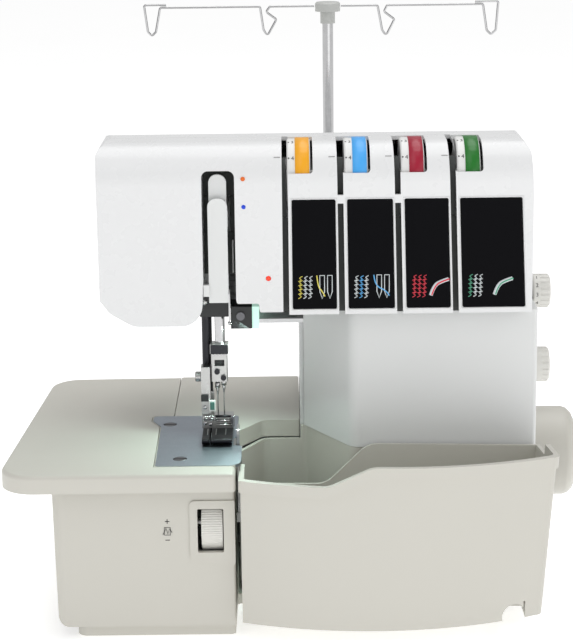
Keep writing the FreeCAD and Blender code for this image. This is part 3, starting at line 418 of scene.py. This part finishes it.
def card_frames():
    """Thin raised white frame round each guide card, and its pictogram."""
    for i, (x0, x1, bottom, top) in enumerate(card_areas()):
        shift = x1[0] - x1[1]
        outer = [(x0[0] - 0.0006, bottom - 0.0006), (x1[0] + 0.0006, bottom - 0.0006),
                 (x1[1] + 0.0006, top + 0.0006), (x0[1] - 0.0006, top + 0.0006)]
        points = [(x, HEAD_Y - 0.0001, z) for x, z in outer]
        stroke("card_frame_%d" % (i + 1), points, 0.00045, WHITE, smooth=False, closed=True)
        pictogram(i, x0[0] + 0.0045, bottom + 0.0065, (x1[0] - x0[0]) / 0.0285, shift)


def card_areas():
    """Corners of the four guide cards: x at the bottom and top of both sides, and the heights."""
    areas = []
    mesh = NODES["guide_cards"].data
    front = [v.co for v in mesh.vertices if v.co.y < HEAD_Y + 0.0001]
    limits = [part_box(n)[0].x - 0.001 for n in DIAL_NAMES] + [0.2]
    for i in range(4):
        mine = [v for v in front if limits[i] < v.x < limits[i + 1]]
        bottom, top = min(v.z for v in mine), max(v.z for v in mine)
        low = [v.x for v in mine if v.z < bottom + 0.002]
        high = [v.x for v in mine if v.z > top - 0.002]
        areas.append(((min(low), min(high)), (max(low), max(high)), bottom, top))
    return areas


def pictogram(index, x, z, wide, shift):
    """Generic stitch ladder and tool outline in the thread's colour."""
    y = HEAD_Y - 0.0002
    colour = PICTO[index]
    for column in range(3):
        cx = x + column * 0.0030
        for row in range(5):
            cz = z + row * 0.0026
            loop = [(cx - 0.0012, y, cz), (cx + 0.0014, y, cz + 0.0010), (cx - 0.0012, y, cz + 0.0022),
                    (cx + 0.0014, y, cz + 0.0032)]
            tint = colour if column == index % 3 or index == 2 else PICTO_WHITE
            stroke("card_%d_loop_%d_%d" % (index + 1, column, row), loop, 0.00022, tint)
    tool_x = x + 0.0142 * min(wide, 1.25)
    if index < 2:
        for k in range(2):
            cx = tool_x + 0.0046 * k
            body = [(cx - 0.0014, y, z + 0.0140), (cx - 0.0014, y, z + 0.0040), (cx, y, z - 0.0002),
                    (cx + 0.0014, y, z + 0.0040), (cx + 0.0014, y, z + 0.0140)]
            stroke("card_%d_needle_%d" % (index + 1, k), body, 0.00028, PICTO_WHITE,
                   smooth=False, closed=True)
        thread = [(tool_x - 0.0032, y, z + 0.0140), (tool_x - 0.0026, y, z + 0.0072),
                  (tool_x + 0.0044 * index, y, z + 0.0044), (tool_x + 0.0044 * index + 0.0016, y, z + 0.0012)]
        stroke("card_%d_thread" % (index + 1), thread, 0.00038, colour)
    else:
        sweep = [(tool_x - 0.0032, y, z + 0.0012), (tool_x - 0.0014, y, z + 0.0072),
                 (tool_x + 0.0036, y, z + 0.0098), (tool_x + 0.0074, y, z + 0.0110)]
        stroke("card_%d_looper" % (index + 1), sweep, 0.0012, PICTO_WHITE)
        thread = [(p[0] + 0.0004, p[1] - 0.0009, p[2] + 0.0002) for p in sweep]
        stroke("card_%d_thread" % (index + 1), thread, 0.0005, colour)


def plate(name, x0, x1, z0, z1, y0, y1, material, body="machine", r=0.0003, edge=0.0002):
    """Small plate with rounded corners and softened edges."""
    mesh = slab_mesh(rounded_outline(x0, x1, z0, z1, r, 3), y0, y1)
    return soften(piece(name, mesh, material, body), edge)


def slot_linings():
    """Painted shade: near-black plates set behind the thread slots and the take-up slot, standing in for
    their shaded interiors.
    """
    y0, y1 = HEAD_Y + 0.0065, HEAD_Y + 0.0075
    for i, (x0, x1, bottom, top) in enumerate(card_areas()):
        right = x0[0] - 0.0006
        dial_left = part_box(DIAL_NAMES[i])[0].x - 0.0006
        plate("slot_painted_shade_low_%d" % (i + 1), right - 0.0090, right, 0.1940, 0.2515, y0, y1, SHADOW)
        plate("slot_painted_shade_high_%d" % (i + 1), right - 0.0090, dial_left, 0.2517, 0.2875, y0, y1, SHADOW)
    # Painted shade: near-black plates deep behind the take-up slot.
    y0, y1 = HEAD_Y + 0.0245, HEAD_Y + 0.0260
    areas = ((-0.0608, -0.0408, 0.2140, 0.2400), (-0.0608, -0.0496, 0.2402, 0.2620),
             (-0.0444, -0.0408, 0.2402, 0.2620), (-0.0608, -0.0408, 0.2622, 0.2808))
    for k, (x0, x1, z0, z1) in enumerate(areas):
        plate("take_up_painted_shade_%d" % k, x0, x1, z0, z1, y0, y1, SHADOW)


# ---------------------------------------------------------------- sewing area
def helix(name, start, end, radius, turns, wire, material, body):
    """Coil spring along X."""
    points = []
    for i in range(turns * 10 + 1):
        a = 2 * math.pi * i / 10
        share = i / (turns * 10)
        x = start[0] + (end[0] - start[0]) * share
        points.append((x, start[1] + radius * math.cos(a), start[2] + radius * math.sin(a)))
    return stroke(name, points, wire, material, body)


def sewing_details():
    """Small hardware round the needle clamp and the presser foot."""
    plate("nose_block", -0.0640, -0.0458, 0.1885, 0.2030, -0.0680, -0.0570, DARK, r=0.001, edge=0.0004)
    mesh = lathe_mesh([(0, 0), (0, 0.0016), (0.0008, 0.0019), (0.0012, 0.0019), (0.0012, 0)],
                      (-0.0610, -0.0692, 0.1980), "y", 24)
    piece("nose_block_screw", mesh, STEEL)
    plate("thread_strip", -0.0462, -0.0451, 0.1850, 0.2060, -0.0700, -0.0692, CHROME)
    mesh = lathe_mesh([(0, 0), (0.0003, 0.0009), (0.0012, 0.0013), (0.0021, 0.0009), (0.0024, 0)],
                      (-0.0456, -0.0709, 0.1850), "y", 20)
    piece("thread_strip_eye", mesh, CHROME)
    # Painted highlight: a white strip standing in for the lit take-up lever seen through the slot.
    plate("slot_glint", -0.0434, -0.0426, 0.2156, 0.2360, -0.0660, -0.0650, DIAL_WHITE)
    low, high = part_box("needle_clamp")
    plate("clamp_band", low.x + 0.0003, high.x - 0.0003, high.z - 0.0060, high.z - 0.0002,
          low.y - 0.0006, low.y, BLACKED,
          "needle_bar")
    for k in range(5):
        x = low.x + 0.0016 + 0.0020 * k
        plate("clamp_tooth_%d" % k, x, x + 0.0011, high.z - 0.0072, high.z - 0.0061,
              low.y - 0.0005, low.y, CHROME,
              "needle_bar", 0.0002, 0.0001)
    # Painted shade: a dark plate at the back of the needle clamp's slot.
    plate("clamp_slot_shade", low.x + 0.0027, high.x - 0.0027, 0.1530, 0.1572,
          low.y + 0.0032, low.y + 0.0040, DARK, "needle_bar")
    for k, (x, z) in enumerate(((-0.0546, 0.1395), (-0.0507, 0.1410))):
        collet = [(0, 0.0011), (0.0004, 0.0017), (0.0034, 0.0017), (0.0040, 0.0011)]
        mesh = lathe_mesh(collet, (x, -0.046, z - 0.002), "z", 24)
        piece("needle_collet_%d" % k, mesh, CHROME, "needle_bar")
    plate("foot_latch_dark", -0.0650, -0.0603, 0.1302, 0.1345, -0.0520, -0.0506, DARK, "presser")
    plate("foot_clip", -0.0600, -0.0560, 0.1240, 0.1310, -0.0524, -0.0508, DIAL_WHITE, "presser")
    plate("foot_clip_core", -0.0594, -0.0566, 0.1250, 0.1300, -0.0528, -0.0522, LINT_GREEN, "presser")
    helix("foot_spring", (-0.0640, -0.0530, 0.1200), (-0.0560, -0.0530, 0.1200),
          0.0017, 7, 0.00035, CHROME, "presser")
    for k, z in enumerate((0.1150, 0.1178, 0.1205)):
        rod = [(-0.0560, 0), (-0.0560, 0.00075), (-0.0462, 0.00075), (-0.0462, 0)]
        mesh = lathe_mesh(rod, (0, -0.0520, z), "x", 20)
        piece("foot_rod_%d" % k, mesh, (STEEL, CHROME, BLACKED)[k], "presser")
    plate("foot_end_cap", -0.0466, -0.0442, 0.1140, 0.1212, -0.0530, -0.0508, CHROME, "presser", 0.0006)
    for k, (x, z) in enumerate(((-0.0626, 0.1160), (-0.0595, 0.1152), (-0.0626, 0.1262))):
        screw = [(0, 0), (0, 0.0010), (0.0004, 0.0013), (0.0010, 0.0013), (0.0010, 0)]
        mesh = lathe_mesh(screw, (x, -0.0516, z), "y", 20)
        piece("foot_screw_%d" % k, mesh, CHROME, "presser")
    for k, x in enumerate((-0.0612, -0.0560, -0.0500)):
        plate("foot_groove_%d" % k, x, x + 0.0006, 0.1126, 0.1129, -0.0655, -0.0530, STEEL,
              "presser", 0.0001, 0.00005)


def knob_numbers():
    low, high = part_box("stitch_length_dial")
    centre_y, centre_z = -0.036, 0.1953
    for k, text in enumerate(("2", "3", "4", "1")):
        angle = math.radians(150 + 32 * k if k < 3 else 118)
        turn = Matrix.Rotation(angle - math.pi / 2, 4, "X")
        where = Vector((0.1447, centre_y + 0.01062 * math.cos(angle), centre_z + 0.01062 * math.sin(angle)))
        digits("length_number_%d" % k, text, 0.0034, where, INK, "stitch_length_dial", turn)


# ---------------------------------------------------------------- lower front
def front_marks():
    y = BLOCK_LOW.y + 0.0009
    for name, cz in (("plus", 0.0750), ("minus", 0.0632)):
        bars = [(0.0014, 0.00022)] + ([(0.00022, 0.0014)] if name == "plus" else [])
        for k, (dx, dz) in enumerate(bars):
            outline = rounded_outline(-0.0840 - dx, -0.0840 + dx, cz - dz, cz + dz, 0.0001, 2)
            mesh = slab_mesh(outline, y, y + 0.0003)
            piece("width_%s_%d" % (name, k), mesh, INK)
    icon = [(-0.0858, 0.0664), (-0.0858, 0.0712), (-0.0822, 0.0712), (-0.0822, 0.0664)]
    stroke("width_icon", [(x, y, z) for x, z in icon], 0.0002, INK, smooth=False, closed=True)
    stitch = [(-0.0866, 0.0668), (-0.0848, 0.0706), (-0.0838, 0.0672), (-0.0826, 0.0704), (-0.0812, 0.0680)]
    stroke("width_icon_stitch", [(x, y - 0.0002, z) for x, z in stitch], 0.0002, INK, smooth=False)


# ---------------------------------------------------------------- staging
def notch_back():
    """Wall that is seen through the finger notch of the tray."""
    plate("notch_back", 0.1165, 0.1315, 0.0125, 0.0235, -0.1040, -0.1020, WARM, "waste_tray")


def studio():
    """Pale floor, white world and soft overhead light."""
    floor = bmesh.new()
    bmesh.ops.create_grid(floor, x_segments=1, y_segments=1, size=12)
    data = bpy.data.meshes.new("floor")
    floor.to_mesh(data)
    floor.free()
    n = Nodes("floor_paper")
    n.set(Base_Color=n.mix(n.noise(3, 2), (0.93, 0.93, 0.93), (0.96, 0.96, 0.96)), Roughness=0.9)
    n.set(Emission_Color=(1, 1, 1, 1), Emission_Strength=0.50, Specular_IOR_Level=0.0)
    data.materials.append(n.material)
    obj = bpy.data.objects.new("floor", data)
    bpy.context.collection.objects.link(obj)

    world = bpy.data.worlds.new("studio")
    bpy.context.scene.world = world
    world.use_nodes = True
    world.node_tree.nodes["Background"].inputs["Color"].default_value = (1.0, 1.0, 1.0, 1)
    world.node_tree.nodes["Background"].inputs["Strength"].default_value = 0.50

    softbox("key_light", (-0.7, -0.9, 1.5), (0, 0, 0.15), 1.3, 3.6)
    softbox("top_light", (0.2, 0.3, 1.7), (0, 0, 0.2), 1.6, 13)
    softbox("fill_light", (1.4, -1.0, 0.8), (0, 0, 0.15), 1.0, 1.6)
    softbox("low_light", (0.5, -1.4, 0.25), (0.05, 0, 0.10), 1.2, 2.4)
    softbox("work_lamp", (-0.036, -0.062, 0.178), (-0.085, -0.115, 0.108), 0.02, 0.10, (0.75, 1.0, 0.90))


def softbox(name, where, target, size, power, colour=(1, 1, 1)):
    light = bpy.data.lights.new(name, "AREA")
    light.shape = "DISK"
    light.size = size
    light.energy = power
    light.color = colour
    obj = bpy.data.objects.new(name, light)
    bpy.context.collection.objects.link(obj)
    obj.location = where
    aim = Vector(target) - Vector(where)
    obj.rotation_euler = aim.to_track_quat("-Z", "Y").to_euler()


def camera():
    view = bpy.data.cameras.new("view")
    view.lens = 110.3
    view.sensor_width = 36
    view.clip_end = 50
    obj = bpy.data.objects.new("view", view)
    bpy.context.collection.objects.link(obj)
    pitch = math.radians(90 - 13.84)
    roll = math.radians(-0.7)
    obj.matrix_world = (Matrix.Translation((-0.011, -1.230, 0.4724)) @ Matrix.Rotation(pitch, 4, "X")
                        @ Matrix.Rotation(roll, 4, "Z"))
    bpy.context.scene.camera = obj
    bpy.context.scene.view_settings.view_transform = "Standard"


DOT_ORANGE = ink("dot_orange", (0.85, 0.16, 0.01))
DOT_BLUE = ink("dot_blue", (0.01, 0.07, 0.75))
LED = glowing("ready_light", (0.9, 0.04, 0.01), 0.6)
PICTO_WHITE = ink("picto_white", (0.75, 0.80, 0.82))
PICTO = [ink("picto_yellow", (0.80, 0.70, 0.12)), ink("picto_blue", (0.12, 0.45, 0.85)),
         ink("picto_red", (0.75, 0.05, 0.08)), ink("picto_green", (0.10, 0.40, 0.25))]

finish_cad()
for number, dial in enumerate(DIAL_NAMES):
    tension_dial(number, dial)
head_prints()
card_frames()
slot_linings()
sewing_details()
knob_numbers()
notch_back()
front_marks()
studio()
camera()
